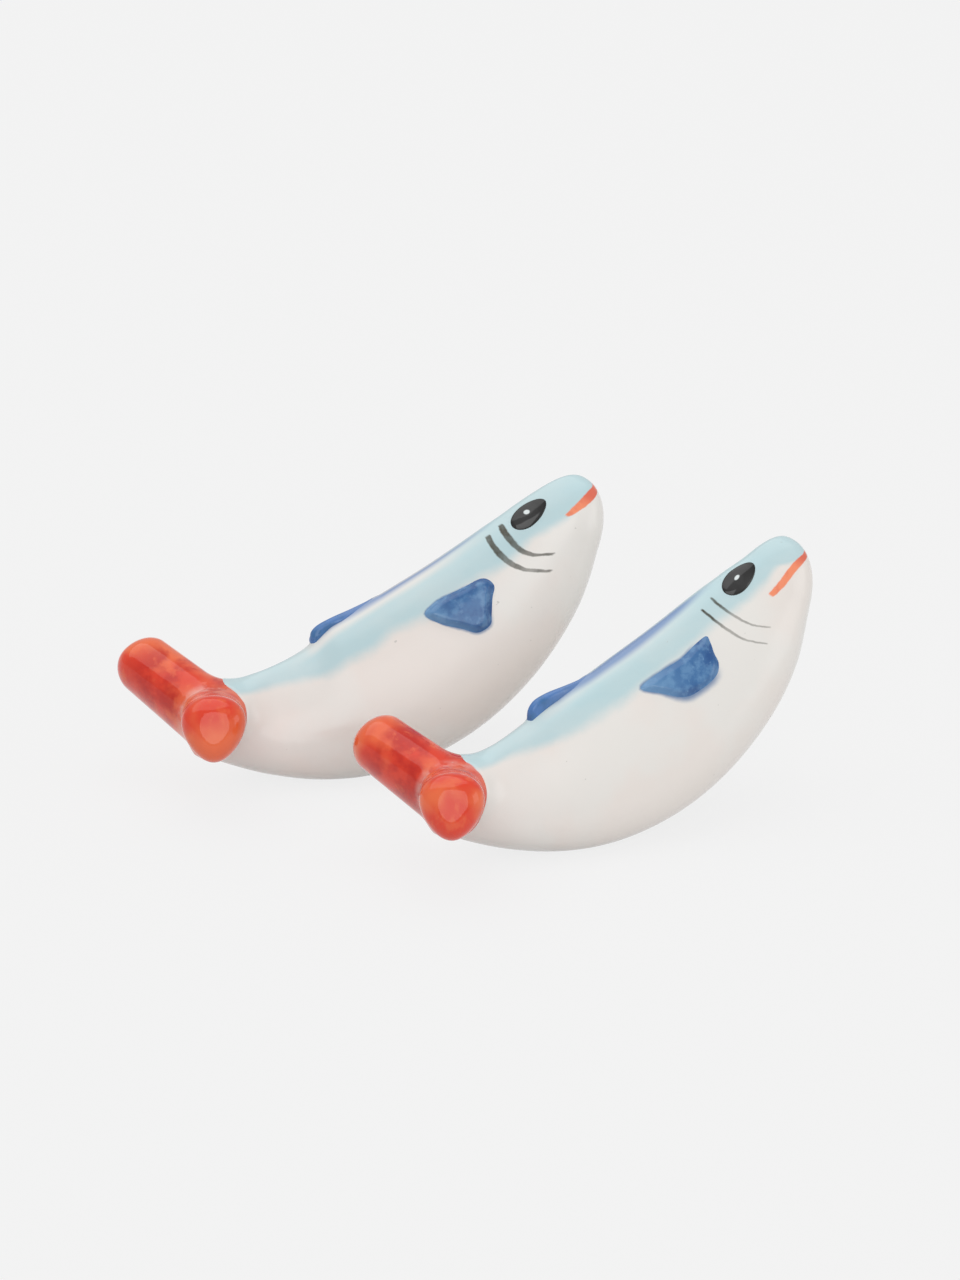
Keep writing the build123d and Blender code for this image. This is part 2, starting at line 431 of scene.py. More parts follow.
def ease(value, low, high):
    """0 at low, 1 at high, eased between."""
    share = np.clip((value - low) / (high - low), 0, 1)
    return share * share * (3 - 2 * share)


def egg_points(turn, narrowing):
    """Unit egg at a turn from its top: distance to the side and rise."""
    return np.stack((np.sin(turn) * (1 - narrowing * np.cos(turn)), np.cos(turn)), -1)


def polar(flat):
    """Turns from the top and distances of flat points."""
    return np.arctan2(flat[:, 0], flat[:, 1]), np.linalg.norm(flat, axis=1)


half_turn = np.linspace(0, math.pi, SECTION_STEPS)
section = egg_points(half_turn, RIDGE_NARROWING) * (WIDTH_RATIO, 1)
section_girths = np.append(0, np.cumsum(np.linalg.norm(np.diff(section, axis=0), axis=1)))
section_polar = polar(section)
tail_polar = polar(egg_points(half_turn, TAIL_NARROWING) * (WIDTH_RATIO, 1))
lobe_polar = {side: polar(egg_points(half_turn, -share)) for side, share in LOBE_NARROWING.items()}


def turn_at(along, girth):
    """Turn from the ridge at a distance round the skin from it."""
    return np.interp(girth / half_height(along), section_girths, half_turn)


def skin(rest, along, turn):
    """Point of a rest's skin at a distance along the spine and a turn from the ridge."""
    facts = RESTS[rest]
    body_share = ease(along, 0, NARROWING_REACH)
    egg = egg_points(turn, TAIL_NARROWING + (RIDGE_NARROWING - TAIL_NARROWING) * body_share)
    half = half_height(along)
    dip = facts["saddle"] * ease(along, SADDLE_START, SADDLE_LOW) * ease(along, SADDLE_END, SADDLE_LOW)
    crown = facts["crown"] * ease(along, CROWN_START, HEAD_END)
    throat = facts["throat"] * ease(along, THROAT_START, NOD_START) * ease(along, NOD_END, NOD_START)
    lower = (dip + crown) * np.maximum(egg[..., 1], 0) + throat * np.maximum(-egg[..., 1], 0)
    nod = facts["nod"] * ease(along, NOD_START, NOD_END)
    rise = half * egg[..., 1] - lower * half / through_stations(along) - nod
    shortening = facts["muzzle"] * ease(along, MUZZLE_START, HEAD_END)
    return in_fish(along - shortening, rise, half * WIDTH_RATIO * egg[..., 0])


def skin_normal(rest, along, turn):
    """Outward direction of the skin."""
    tiny = 0.01
    forward = skin(rest, along + tiny, turn) - skin(rest, along - tiny, turn)
    round_way = skin(rest, along, turn + tiny) - skin(rest, along, turn - tiny)
    normal = np.cross(forward, round_way)
    normal /= np.maximum(np.linalg.norm(normal, axis=-1, keepdims=True), NEAR_ZERO)
    outwards = skin(rest, along, turn) - in_fish(along, 0.0 * along)
    return normal * np.sign((normal * outwards).sum(-1, keepdims=True) + NEAR_ZERO)


def body_distance(points):
    """Distance of points from the body's skin, negative inside."""
    centre = spine_radius * np.array((-math.sin(TAIL_SLOPE), 0, math.cos(TAIL_SLOPE))) - foot_point
    away = points - centre
    slope = np.arctan2(away[..., 0], -away[..., 2])
    along = (slope - TAIL_SLOPE) / (HEAD_SLOPE - TAIL_SLOPE) * SPINE_LENGTH
    rise = spine_radius - np.hypot(away[..., 0], away[..., 2])
    past_tail = np.maximum(-TAIL_END_ROUNDING - along, 0)
    out = np.hypot(points[..., 1], rise)
    angle = np.arctan2(np.abs(points[..., 1]), rise)
    body_share = ease(along, 0, NARROWING_REACH)
    body_radius = np.interp(angle, *section_polar)
    tail_radius = np.interp(angle, *tail_polar)
    gap = out - half_height(along) * (body_radius * body_share + tail_radius * (1 - body_share))
    return np.where(past_tail > 0, np.hypot(gap, past_tail), gap)


def lobe_axes(rest, side):
    """Length of a tail lobe, the way along it, level across it and up."""
    tip = np.array(RESTS[rest]["lobe_tips"][side])
    length = np.linalg.norm(tip)
    way = tip / length
    level = np.cross((0, 0, 1), way)
    level /= np.linalg.norm(level)
    return length, way, level, np.cross(way, level)


lobe_root = in_fish(0.0, 0.0) + np.array((TAIL_ROOT_FORWARD, 0, 0))


def lobe_halves(share, side):
    """Half height and half width of a lobe at a share of its length."""
    share = np.clip(share, 0, 1)
    tall = LOBE_ROOT_TALL[side] * (1 - share) + LOBE_TIP_TALL[side] * share
    return tall, LOBE_ROOT_WIDE[side] * (1 - share) + LOBE_TIP_WIDE[side] * share


def lobe_distance(points, rest, side):
    """Distance of points from one tail lobe, negative inside."""
    length, way, level, up = lobe_axes(rest, side)
    away = points - lobe_root
    reach, across, rise = away @ way, away @ level, away @ up
    tall, wide = lobe_halves(reach / length, side)
    out = np.maximum(np.hypot(across, rise), NEAR_ZERO)
    unit = np.maximum(np.hypot(across / wide, rise / tall), NEAR_ZERO)
    edge = np.interp(np.arctan2(np.abs(across / wide), rise / tall), *lobe_polar[side])
    past_end = reach - (length - LOBE_TIP_ROUNDING)
    past_side = out - out / unit * edge + LOBE_TIP_ROUNDING
    corner = np.hypot(np.maximum(past_end, 0), np.maximum(past_side, 0))
    bar = corner + np.minimum(np.maximum(past_end, past_side), 0) - LOBE_TIP_ROUNDING
    root = (np.hypot(unit / edge, reach / LOBE_ROOT_ROUNDING[side]) - 1) * LOBE_ROOT_WIDE[side]
    return np.where(reach < 0, root, bar)


def smooth_outline(points, count):
    """Evenly spread points on a smooth closed curve through a few points."""
    knots = np.array(points, float)
    before, after, later = (np.roll(knots, shift, axis=0) for shift in (1, -1, -2))
    t = np.linspace(0, 1, CURVE_STEPS, endpoint=False)[None, :, None]
    p0, p1, p2, p3 = (knot[:, None, :] for knot in (before, knots, after, later))
    curve = p1 + 0.5 * t * (p2 - p0 + t * (2 * p0 - 5 * p1 + 4 * p2 - p3 + t * (3 * (p1 - p2) + p3 - p0)))
    curve = curve.reshape(-1, 2)
    closed = np.vstack((curve, curve[:1]))
    lengths = np.append(0, np.cumsum(np.linalg.norm(np.diff(closed, axis=0), axis=1)))
    at = np.linspace(0, lengths[-1], count, endpoint=False)
    return np.stack([np.interp(at, lengths, closed[:, axis]) for axis in (0, 1)], -1)


def outline_distance(points, outline):
    """Distance of flat points from a closed outline, negative inside."""
    way = np.roll(outline, -1, axis=0) - outline
    to_point = points[..., None, :] - outline
    share = np.clip((to_point * way).sum(-1) / (way * way).sum(-1), 0, 1)
    gap = np.linalg.norm(to_point - share[..., None] * way, axis=-1).min(-1)
    spans = (outline[:, 1] > points[..., None, 1]) != (outline[:, 1] + way[:, 1] > points[..., None, 1])
    steep = np.where(np.abs(way[:, 1]) < NEAR_ZERO, NEAR_ZERO, way[:, 1])
    crossing = outline[:, 0] + to_point[..., 1] / steep * way[:, 0]
    inside = (spans & (points[..., None, 0] < crossing)).sum(-1) % 2 == 1
    return np.where(inside, -gap, gap)


def dorsal_outline(rest):
    """The dorsal fin's outline in the median plane."""
    rear, height, _ = RESTS[rest]["dorsal"]
    corners = []
    for back, share in smooth_outline(DORSAL_OUTLINE, DORSAL_AROUND):
        along = np.array(rear + back)
        corners.append(in_fish(along, half_height(along) + share * height)[[0, 2]])
    return np.array(corners)


def dorsal_distance(points, rest, outline):
    """Distance of points from the dorsal fin, negative inside."""
    flat = outline_distance(points[..., [0, 2]], outline) + DORSAL_ROUNDING
    aside = RESTS[rest]["dorsal"][2]
    side = np.abs(points[..., 1] - aside) - DORSAL_HALF_THICKNESS + DORSAL_ROUNDING
    corner = np.hypot(np.maximum(flat, 0), np.maximum(side, 0))
    return corner + np.minimum(np.maximum(flat, side), 0) - DORSAL_ROUNDING


def smooth_least(first, second, width):
    """Smaller of two distances, rounded where they are alike."""
    near = np.maximum(width - np.abs(first - second), 0) / width
    return np.minimum(first, second) - near * near * width / 4


def tail_distance(points, rest):
    """Distance of points from both tail lobes and their join."""
    return smooth_least(lobe_distance(points, rest, 1), lobe_distance(points, rest, -1), TAIL_JOIN)


def slope_of(distance, points):
    """Outward direction of a distance sum at points."""
    tiny = 0.02
    sides = [distance(points + tiny * axis) - distance(points - tiny * axis) for axis in np.eye(3)]
    way = np.stack(sides, -1)
    return way / np.maximum(np.linalg.norm(way, axis=-1, keepdims=True), NEAR_ZERO)


def swollen(points, normals, other_distance, width):
    """Skin points moved outwards to a rounded join with another form."""
    amount = np.zeros(points.shape[:-1])
    for _ in range(JOIN_ROUNDS):
        moved = points + normals * amount[..., None]
        amount = np.clip(amount - smooth_least(amount, other_distance(moved), width), 0, width / 4)
    return points + normals * amount[..., None]


# Meshes

def tube_faces(rings, around):
    """Quads between closed rings, with a fan at each end to a pole vertex."""
    faces = []
    for ring in range(rings - 1):
        low, high = ring * around, (ring + 1) * around
        for step in range(around):
            after = (step + 1) % around
            faces.append((low + step, low + after, high + after, high + step))
    first_pole, last_pole, last = rings * around, rings * around + 1, (rings - 1) * around
    for step in range(around):
        after = (step + 1) % around
        faces.append((first_pole, after, step))
        faces.append((last_pole, last + step, last + after))
    return faces


def make_piece(rest, piece, shape, material):
    """Mesh of points in fish axes, placed with its rest and riding on it instead of its CAD node."""
    points, faces, measures = shape
    node = rest + "_" + piece
    mesh = bpy.data.meshes.new(node + "_glazed")
    mesh.from_pydata([tuple(point) for point in points], [], faces)
    shift = Matrix.Translation(Vector((*RESTS[rest]["place"], 0.0)) * MM)
    mesh.transform(shift @ Matrix.Rotation(RESTS[rest]["turn"], 4, "Z") @ Matrix.Scale(MM, 4))
    for name, values in measures.items():
        layer = mesh.attributes.new(name, "FLOAT", "POINT")
        layer.data.foreach_set("value", np.asarray(values, np.float32))
    mesh.polygons.foreach_set("use_smooth", [True] * len(mesh.polygons))
    mesh.update()
    mesh.materials.append(material)
    obj = bpy.data.objects.new(node + "_glazed", mesh)
    bpy.context.scene.collection.objects.link(obj)
    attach(obj, rest + "_rest")
    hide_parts(node)


def set_on_table(points):
    """Body points with the foot cut flat, its edge rounded, and the vent pushed into it."""
    near_table = np.maximum(FOOT_EDGE - np.abs(points[..., 2]), 0) / FOOT_EDGE
    points[..., 2] = np.maximum(points[..., 2], 0) + near_table ** 2 * FOOT_EDGE / 4
    from_vent = points[..., :2] - (VENT_FORWARD, 0)
    far = np.linalg.norm(from_vent, axis=-1)
    on_foot = points[..., 2] < FOOT_EDGE
    rim = on_foot & (np.abs(far - VENT_RADIUS) < VENT_RIM)
    points[rim, :2] = from_vent[rim] / far[rim, None] * VENT_RADIUS + (VENT_FORWARD, 0)
    points[on_foot & (far <= VENT_RADIUS - VENT_RIM), 2] = VENT_DEPTH
    return points


def body_shape(rest, fin_outline):
    """Body skin with its soft joins, flat foot and vent, and the measures that its paint follows."""
    ends = np.linspace(0, 1, BODY_RINGS)
    length = SPINE_LENGTH + TAIL_END_ROUNDING
    along = length * (ends - np.sin(2 * math.pi * ends) / (END_CROWDING * math.pi)) - TAIL_END_ROUNDING
    along = np.clip(along, POLE_GAP - TAIL_END_ROUNDING, SPINE_LENGTH - POLE_GAP)
    even = np.interp(np.linspace(0, section_girths[-1], BODY_AROUND // 2 + 1), section_girths, half_turn)
    along, turn = np.meshgrid(along, np.concatenate((even, -even[-2:0:-1])), indexing="ij")
    fin_on_back = dorsal_outline(rest)
    normals = skin_normal(rest, along, turn)
    points = skin(rest, along, turn)
    joined = swollen(points, normals, lambda moved: tail_distance(moved, rest), ROOT_JOIN)
    points = points + (joined - points) * ease(np.abs(turn), JOIN_END, JOIN_START)[..., None]
    points = swollen(points, normals, lambda moved: dorsal_distance(moved, rest, fin_on_back), DORSAL_JOIN)
    points = set_on_table(points)
    half = half_height(along)
    girth = half * np.interp(np.abs(turn), half_turn, section_girths)
    fin_gap = outline_distance(np.stack((along, girth), -1), fin_outline)
    snout_pole = in_fish(SPINE_LENGTH - RESTS[rest]["muzzle"], -RESTS[rest]["nod"])
    poles = (in_fish(-TAIL_END_ROUNDING, 0.0), snout_pole)

    def with_poles(values, tail_value, snout_value):
        return np.append(values.ravel(), (tail_value, snout_value))

    measures = {
        "along": with_poles(along, -TAIL_END_ROUNDING, SPINE_LENGTH),
        "turn": with_poles(np.degrees(np.abs(turn)), 90, 90),
        "girth": with_poles(girth, 0, 0),
        "rise": with_poles(half * np.cos(turn), 0, 0),
        "tail_gap": with_poles(tail_distance(points, rest), 0, SPINE_LENGTH),
        "fin_gap": with_poles(fin_gap, SPINE_LENGTH, SPINE_LENGTH),
        "height": with_poles(points[..., 2], SPINE_LENGTH, SPINE_LENGTH),
    }
    return np.vstack((points.reshape(-1, 3), poles)), tube_faces(BODY_RINGS, BODY_AROUND), measures


def lobe_shape(rest, side):
    """Tail lobe with its soft joins to the body and to the other lobe."""
    bend = np.radians(np.linspace(0, 90, LOBE_BEND_RINGS))
    length, way, level, up = lobe_axes(rest, side)
    straight = np.linspace(0, length - LOBE_TIP_ROUNDING, LOBE_STRAIGHT_RINGS)
    cap = np.linspace(1, 0, LOBE_CAP_RINGS)[1:-1]
    reach = np.concatenate((
        -LOBE_ROOT_ROUNDING[side] * np.cos(bend[1:-1]),
        straight,
        straight[-1] + LOBE_TIP_ROUNDING * np.sin(bend[1:]),
        np.full(len(cap), length),
    ))
    scale = np.concatenate((np.sin(bend[1:-1]), np.ones(len(straight) + len(bend) - 1), cap))
    past = np.clip(reach - straight[-1], 0, LOBE_TIP_ROUNDING)
    inset = LOBE_TIP_ROUNDING - np.sqrt(LOBE_TIP_ROUNDING ** 2 - past ** 2)
    tall, wide = ((half - inset) * scale for half in lobe_halves(reach / length, side))
    egg = egg_points(np.linspace(0, 2 * math.pi, LOBE_AROUND, endpoint=False), -LOBE_NARROWING[side])
    points = lobe_root + reach[:, None, None] * way
    points = points + (wide[:, None] * egg[:, 0])[..., None] * level
    points = points + (tall[:, None] * egg[:, 1])[..., None] * up

    normals = slope_of(lambda moved: lobe_distance(moved, rest, side), points)
    points = swollen(points, normals, body_distance, ROOT_JOIN)
    points = swollen(points, normals, lambda moved: lobe_distance(moved, rest, -side), TAIL_JOIN)
    poles = (lobe_root - LOBE_ROOT_ROUNDING[side] * way, lobe_root + length * way)
    flat = np.vstack((points.reshape(-1, 3), poles))
    measures = {
        "lobe_gap": lobe_distance(flat, rest, -side),
        "tip_share": np.clip((flat - lobe_root) @ way / length, 0, 1),
    }
    return flat, tube_faces(len(reach), LOBE_AROUND), measures


def dorsal_shape(rest):
    """Pillow between its two sides, rounded along its outline."""
    outline = dorsal_outline(rest)
    way = np.roll(outline, -1, axis=0) - np.roll(outline, 1, axis=0)
    outwards = np.stack((way[:, 1], -way[:, 0]), -1) / np.linalg.norm(way, axis=1, keepdims=True)
    tiny = 0.05
    if outline_distance(outline[:1] + tiny * outwards[:1], outline)[0] < 0:
        outwards = -outwards
    flat_half = DORSAL_HALF_THICKNESS - DORSAL_ROUNDING
    rings = []
    for bend in np.radians(np.linspace(-90, 90, DORSAL_RINGS)):
        ring = outline - outwards * DORSAL_ROUNDING * (1 - math.cos(bend))
        across = math.copysign(flat_half, bend) + DORSAL_ROUNDING * math.sin(bend)
        rings.append(np.stack((ring[:, 0], np.full(len(ring), across), ring[:, 1]), -1))
    points = np.array(rings)
    forward = points[..., 0] - points[..., 0].min()
    points[..., 1] *= 1 - DORSAL_FRONT_THINNING * ease(forward, DORSAL_THIN_START, DORSAL_THIN_END)
    points[..., 1] += RESTS[rest]["dorsal"][2]
    normals = slope_of(lambda moved: dorsal_distance(moved, rest, outline), points)
    points = swollen(points, normals, body_distance, DORSAL_JOIN)
    flat = np.vstack((points.reshape(-1, 3), points[[0, -1]].mean(axis=1)))
    measures = {"forward": flat[:, 0] - flat[:, 0].min()}
    return flat, tube_faces(len(rings), len(outline)), measures


def plate_shape(rest, outline, side, relief):
    """Raised plate on the flank inside a closed outline, with its underside sunk in the body."""
    centre = outline.mean(axis=0)
    shares = np.append(np.sin(np.linspace(0, math.pi / 2, PLATE_RINGS))[1:], PLATE_UNDERSIDE)
    rings = centre + (outline - centre) * shares[:, None, None]
    lift = np.array([relief(-outline_distance(ring, outline), share) for ring, share in zip(rings, shares)])
    lift[-len(PLATE_UNDERSIDE):] = -PLATE_SINK
    along, girth = rings[..., 0], rings[..., 1]
    turn = turn_at(along, girth) * side
    points = skin(rest, along, turn) + skin_normal(rest, along, turn) * lift[..., None]
    poles = (points[0].mean(axis=0), points[-1].mean(axis=0))
    measures = {
        "forward": np.append((along - centre[0]).ravel(), (0, 0)),
        "down": np.append((girth - centre[1]).ravel(), (0, 0)),
        "outwards": np.append(np.broadcast_to(shares[:, None], lift.shape).ravel(), (0, 0)),
    }
    return np.vstack((points.reshape(-1, 3), poles)), tube_faces(len(rings), len(outline)), measures


def fin_shape(rest, side, outline):
    """Flat pectoral fin with a bevelled edge."""
    height = RESTS[rest]["pectoral_relief"]

    def relief(inwards, share):
        on_bevel = np.clip(inwards / PECTORAL_BEVEL, 0, 1)
        return height * ease(inwards, 0, PECTORAL_BEVEL) - PECTORAL_EDGE_SINK * (1 - on_bevel)

    return plate_shape(rest, outline, side, relief)


def eye_shape(rest, side):
    """Low oval dome, a little pointed in front."""
    along, girth = RESTS[rest]["eye"]
    half_length, half_width = RESTS[rest]["eye_halves"]
    turn = np.linspace(0, 2 * math.pi, EYE_AROUND, endpoint=False)
    long_way = half_length * np.cos(turn)
    short_way = half_width * np.sin(turn) * (1 - EYE_POINT * np.cos(turn))
    tilt, lower = (0.0, FAR_EYE_LOWER) if side > 0 else (RESTS[rest]["eye_tilt"], 0.0)
    outline = np.stack((
        along + long_way * math.cos(tilt) - short_way * math.sin(tilt),
        girth + long_way * math.sin(tilt) + short_way * math.cos(tilt) + lower,
    ), -1)

    def relief(inwards, share):
        return np.full(len(inwards), EYE_RELIEF * math.sqrt(1 - share * share) - EYE_EDGE_SINK)

    return plate_shape(rest, outline, side, relief)


# Paint and glaze

class Paint:
    """A material's node tree, with short calls for the sums that paint it."""

    def __init__(self, name):
        self.material = bpy.data.materials.new(name)
        self.material.use_nodes = True
        self.tree = self.material.node_tree
        self.shader = self.tree.nodes["Principled BSDF"]
        self.place = self.add("ShaderNodeTexCoord").outputs["Object"]

    def feed(self, socket, value):
        if isinstance(value, bpy.types.NodeSocket):
            self.tree.links.new(value, socket)
        else:
            socket.default_value = value

    def add(self, kind, inputs=None, **settings):
        node = self.tree.nodes.new(kind)
        for key, value in settings.items():
            setattr(node, key, value)
        for key, value in (inputs or {}).items():
            self.feed(node.inputs[key], value)
        return node

    def sum(self, operation, first, second=0.0):
        return self.add("ShaderNodeMath", {0: first, 1: second}, operation=operation).outputs[0]

    def times(self, first, *others):
        for other in others:
            first = self.sum("MULTIPLY", first, other)
        return first

    def less(self, first, second):
        return self.sum("SUBTRACT", first, second)

    def plus(self, first, second):
        return self.sum("ADD", first, second)

    def measure(self, name):
        return self.add("ShaderNodeAttribute", attribute_name=name).outputs["Fac"]

    def step(self, value, low, high):
        """0 at low, 1 at high, eased between."""
        inputs = {"Value": value, "From Min": low, "From Max": high}
        return self.add("ShaderNodeMapRange", inputs, interpolation_type="SMOOTHSTEP").outputs[0]

    def curve(self, value, points):
        """Smooth curve through (value, result) points."""
        xs, ys = zip(*points)
        low, high = min(ys), max(ys)
        inputs = {"Value": value, "From Min": xs[0], "From Max": xs[-1]}
        share = self.add("ShaderNodeMapRange", inputs).outputs[0]
        node = self.add("ShaderNodeFloatCurve", {"Value": share})
        line = node.mapping.curves[0]
        spots = [((x - xs[0]) / (xs[-1] - xs[0]), (y - low) / (high - low)) for x, y in points]
        line.points[0].location = spots[0]
        line.points[-1].location = spots[-1]
        for spot in spots[1:-1]:
            line.points.new(*spot)
        node.mapping.update()
        inputs = {"Value": node.outputs[0], "To Min": low, "To Max": high}
        return self.add("ShaderNodeMapRange", inputs).outputs[0]

    def noise(self, size, detail=3.0, stretch=None):
        """Noise between about 0.3 and 0.7 with blotches of a size in millimetres."""
        place = self.place
        if stretch:
            place = self.add("ShaderNodeMapping", {"Vector": place, "Scale": stretch}).outputs[0]
        inputs = {"Vector": place, "Scale": 1 / (size * MM), "Detail": detail, "Roughness": NOISE_ROUGHNESS}
        return self.add("ShaderNodeTexNoise", inputs).outputs[0]

    def waver(self, size):
        """Noise about zero."""
        return self.less(self.noise(size), NOISE_MIDDLE)

    def blotches(self, kind, stretch=None):
        """Mask of brush blotches."""
        size, begin, full, detail, strength = kind
        return self.times(self.step(self.noise(size, detail, stretch), begin, full), strength)

    def mix(self, share, first, second):
        node = self.add("ShaderNodeMix", data_type="RGBA")
        for index, value in zip(MIX_INPUTS, (share, first, second)):
            self.feed(node.inputs[index], value)
        return node.outputs[MIX_OUTPUT]

    def stroke(self, offset, half_width, softness):
        """Mask of a brush line from the distance to its middle."""
        gap = self.sum("ABSOLUTE", offset)
        return self.step(gap, self.plus(half_width, softness), self.less(half_width, softness))

    def glaze(self, colour, roughness):
        """Clear gloss over the paint, a little uneven."""
        self.feed(self.shader.inputs["Base Color"], colour)
        self.feed(self.shader.inputs["Roughness"], roughness)
        self.shader.inputs["IOR"].default_value = GLAZE_IOR
        waves = self.noise(GLAZE_WAVE_SIZE, GLAZE_DETAIL)
        grain = self.times(self.noise(GLAZE_GRAIN_SIZE, GLAZE_DETAIL), GLAZE_GRAIN_SHARE)
        height = self.plus(waves, grain)
        inputs = {"Height": height, "Strength": GLAZE_BUMP, "Distance": GLAZE_BUMP_HEIGHT * MM}
        self.feed(self.shader.inputs["Normal"], self.add("ShaderNodeBump", inputs).outputs[0])
        return self.material


def red_paint(paint, pale):
    """Brushed red with orange thins, dark pools that are partly a painted dark reflection, and pale
    creases.
    """
    colour = paint.mix(paint.blotches(TAIL_CLOUDS), TAIL_RED, TAIL_ORANGE)
    # Dark pools, deepest in a lobe's middle: partly pooled red, partly a painted dark reflection
    pools_and_reflection = paint.curve(paint.measure("tip_share"), TAIL_POOLS_AND_DARK_REFLECTION)
    colour = paint.mix(paint.times(paint.blotches(TAIL_POOLS), pools_and_reflection), colour, TAIL_DARK)
    colour = paint.mix(paint.blotches(TAIL_VEINS, TAIL_VEIN_STRETCH), colour, TAIL_ORANGE)
    return paint.mix(pale, colour, TAIL_PALE)


def back_wash(paint, facts, wobble, above_mouth):
    """Mask of the blue band on the back, kept off the chin and thinner on the ridge."""
    along, girth = paint.measure("along"), paint.measure("girth")
    edge = paint.plus(paint.curve(along, facts["band"]), paint.times(wobble, BAND_WOBBLE))
    band = paint.step(paint.less(edge, paint.measure("turn")), -BAND_SOFTNESS, BAND_SOFTNESS)
    chin = paint.times(paint.step(above_mouth, *CHIN_DROP), paint.step(along, *CHIN_ALONG))
    bare = paint.times(paint.curve(along, BARE_RIDGE), facts["bare_ridge"])
    bare = paint.times(bare, paint.step(girth, *BARE_RIDGE_GIRTH))
    wash = paint.times(paint.noise(WASH_SIZE, stretch=WASH_STRETCH), WASH_CHANGE)
    band = paint.times(band, paint.less(1.0, chin), paint.less(1.0, bare))
    return paint.times(band, paint.plus(WASH_LEAST, wash))


def ridge_stripe(paint, facts):
    """Mask of the stripe on the ridge."""
    along = paint.measure("along")
    width = paint.curve(along, facts["stripe"])
    outside, inside = paint.plus(width, STRIPE_OUTSIDE), paint.less(width, STRIPE_INSIDE)
    stripe = paint.step(paint.measure("girth"), outside, inside)
    stripe = paint.times(stripe, paint.step(along, *STRIPE_START), paint.step(along, *STRIPE_END))
    return paint.times(stripe, STRIPE_STRENGTH)


def gill_stroke(paint, points, facts, shiver):
    """Mask of a gill, a brush line that thins and dries from its start to its end."""
    along, girth = paint.measure("along"), paint.measure("girth")
    start, end = points[0][0], points[-1][0]
    widths = [(start + past, share) for past, share in GILL_START_WIDTHS]
    widths += [(end + past, share) for past, share in GILL_END_WIDTHS]
    width = paint.times(paint.curve(girth, widths), facts["gill_half_width"])
    offset = paint.plus(paint.less(along, paint.curve(girth, points)), paint.times(shiver, GILL_SHIVER))
    line = paint.stroke(offset, width, GILL_SOFTNESS)
    line = paint.times(line, paint.step(girth, start - GILL_LEAD, start))
    line = paint.times(line, paint.step(girth, *(end + past for past in GILL_END)))
    wet, dry = facts["gill_ink"]
    ink = ((start, wet), (start + GILL_WET_END, wet), (start + GILL_DRY_START, dry), (end, dry))
    grain = paint.plus(GILL_INK_LEAST, paint.times(paint.noise(GILL_INK_SIZE), GILL_INK_CHANGE))
    return paint.times(line, paint.times(paint.curve(girth, ink), grain))


def mouth_stroke(paint, facts, shiver, above_mouth):
    """Mask of the mouth, a brush line that broadens from its corner to the snout."""
    along = paint.measure("along")
    corner = facts["mouth"][0][0]
    point_past, point_width = MOUTH_POINT
    thin, middling, broad = facts["mouth_widths"]
    widths = ((corner + point_past, point_width), (corner + MOUTH_CORNER, thin),
              (corner + MOUTH_MIDDLE, middling), (SPINE_LENGTH, broad))
    offset = paint.plus(above_mouth, paint.times(shiver, MOUTH_SHIVER))
    line = paint.stroke(offset, paint.curve(along, widths), MOUTH_SOFTNESS)
    return paint.times(line, paint.step(along, *(corner + past for past in MOUTH_START)))


def fin_bleed(paint, facts, wobble):
    """Mask of the blue that has run out of the pectoral fins."""
    spread = paint.times(paint.step(paint.measure("girth"), *BLEED_GIRTH), BLEED_GROWTH)
    spread = paint.times(paint.plus(BLEED_LEAST, spread), facts["pectoral_bleed"])
    fin_gap = paint.plus(paint.measure("fin_gap"), paint.times(wobble, BLEED_WOBBLE))
    bleed = paint.step(fin_gap, spread, BLEED_INSIDE)
    return paint.times(bleed, paint.step(paint.measure("along"), *BLEED_END), BLEED_STRENGTH)


def tail_root(paint, wobble):
    """Mask of the red where the tail meets the body."""
    turn = paint.measure("turn")
    edge = paint.plus(paint.curve(turn, TAIL_EDGE), paint.times(wobble, TAIL_WOBBLE))
    outside, inside = paint.plus(edge, TAIL_SOFTNESS), paint.less(edge, TAIL_SOFTNESS)
    root = paint.step(paint.measure("along"), outside, inside)
    near = paint.times(paint.step(paint.measure("tail_gap"), *TAIL_REACH), paint.step(turn, *TAIL_TURN))
    return paint.sum("MAXIMUM", root, near)


def body_paint(rest):
    """Ivory body with its brush work in layers, specks and a bare foot."""
    facts = RESTS[rest]
    paint = Paint(rest + "_painted_body")
    wobble, shiver = paint.waver(WOBBLE_SIZE), paint.waver(SHIVER_SIZE)
    along = paint.measure("along")
    above_mouth = paint.less(paint.measure("rise"), paint.curve(along, facts["mouth"]))
    coral = paint.mix(paint.step(along, *MOUTH_REDDENS), MOUTH_CORAL, MOUTH_RED)
    coral = paint.mix(paint.blotches(MOUTH_POOLS), coral, MOUTH_RED)
    crease = paint.step(paint.measure("tail_gap"), *BODY_CREASE_GAP)
    red = red_paint(paint, paint.times(crease, paint.blotches(BODY_CREASES)))
    bare_foot = paint.step(paint.measure("height"), *FOOT_HEIGHT)

    layers = [
        (back_wash(paint, facts, wobble, above_mouth), PALE_BLUE),
        (ridge_stripe(paint, facts), STRIPE_BLUE),
        *((gill_stroke(paint, points, facts, shiver), GILL_GREY) for points in facts["gills"]),
        (mouth_stroke(paint, facts, shiver, above_mouth), coral),
        (fin_bleed(paint, facts, wobble), FIN_BLUE),
        (tail_root(paint, wobble), red),
        (paint.blotches(BODY_SPECKS), SPECK_GREY),
        (bare_foot, BISQUE),
    ]
    colour = paint.mix(paint.blotches(IVORY_CLOUDS), IVORY, IVORY_WARM)
    for mask, layer_colour in layers:
        colour = paint.mix(mask, colour, layer_colour)
    return paint.glaze(colour, paint.plus(BODY_ROUGHNESS, paint.times(bare_foot, FOOT_ROUGHNESS)))


